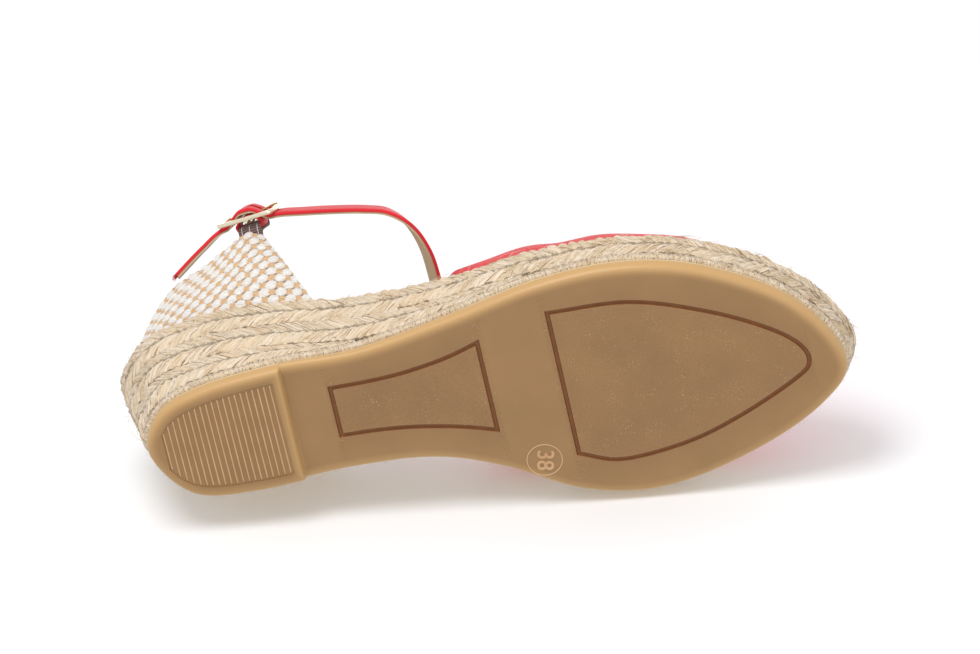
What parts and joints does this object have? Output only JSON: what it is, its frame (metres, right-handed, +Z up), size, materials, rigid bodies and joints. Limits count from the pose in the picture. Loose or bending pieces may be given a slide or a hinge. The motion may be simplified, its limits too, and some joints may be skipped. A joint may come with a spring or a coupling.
{
  "type": "wedge sandal",
  "caption": "Closed-toe wedge sandal with a rubber outsole, braided jute wedge, woven heel counter and a buckled ankle strap.",
  "frame": {"origin": "centre of the bounding box's bottom face, on the ground the sandal stands on", "axes": "+X towards the toe, +Y towards the inner side of the foot, +Z up; a right shoe"},
  "size_m": [0.2599, 0.093, 0.1096],
  "materials": {
    "outsole": "matt gum rubber with a glossier cut edge",
    "welt_cord": "twisted jute",
    "jute_braid": "braided jute",
    "wedge_core": "dense foam",
    "insole_board": "fibre board",
    "insole_foam": "soft foam",
    "sock_lining": "smooth leather",
    "woven_counter": "basket weave of white cotton and tan jute",
    "stiffener": "pressed felt",
    "upper_lining": "thin beige lining leather",
    "elastic": "ribbed elastic webbing",
    "vamp": "red canvas",
    "strap": "red canvas",
    "strap_lining": "thin beige lining leather",
    "buckle_metal": "polished pale gold plating",
    "prong_metal": "polished pale gold plating"
  },
  "bodies": {
    "shoe": {"rubber_outsole": "outsole", "jute_welt_cord": "welt_cord", "jute_row_top": "jute_braid", "jute_row_middle": "jute_braid", "jute_row_bottom": "jute_braid", "wedge_core": "wedge_core", "insole_board": "insole_board", "insole_foam": "insole_foam", "sock_lining": "sock_lining", "heel_counter": "woven_counter", "counter_stiffener": "stiffener", "counter_lining": "upper_lining", "topline_elastic_outer": "elastic", "topline_elastic_inner": "elastic", "vamp": "vamp", "vamp_lining": "upper_lining", "elastic_loop_outer": "elastic", "elastic_loop_inner": "elastic"},
    "strap": {"ankle_strap": "strap", "ankle_strap_lining": "strap_lining", "buckle_tab": "strap", "buckle_frame": "buckle_metal"},
    "prong": {"buckle_prong": "prong_metal"}
  },
  "joints": [
    {"name": "strap_swing", "type": "hinge", "parent": "shoe", "child": "strap", "pos_m": [-0.0788, -0.00375, 0.1003], "axis": [0, 1, 0], "range_deg": [-2, 20], "deforming": ["elastic_loop_outer", "elastic_loop_inner"]},
    {"name": "prong_swing", "type": "hinge", "parent": "strap", "child": "prong", "pos_m": [-0.07907, -0.03799, 0.10077], "axis": [-0.1608, -0.3231, -0.9326], "range_deg": [0, 18]}
  ]
}
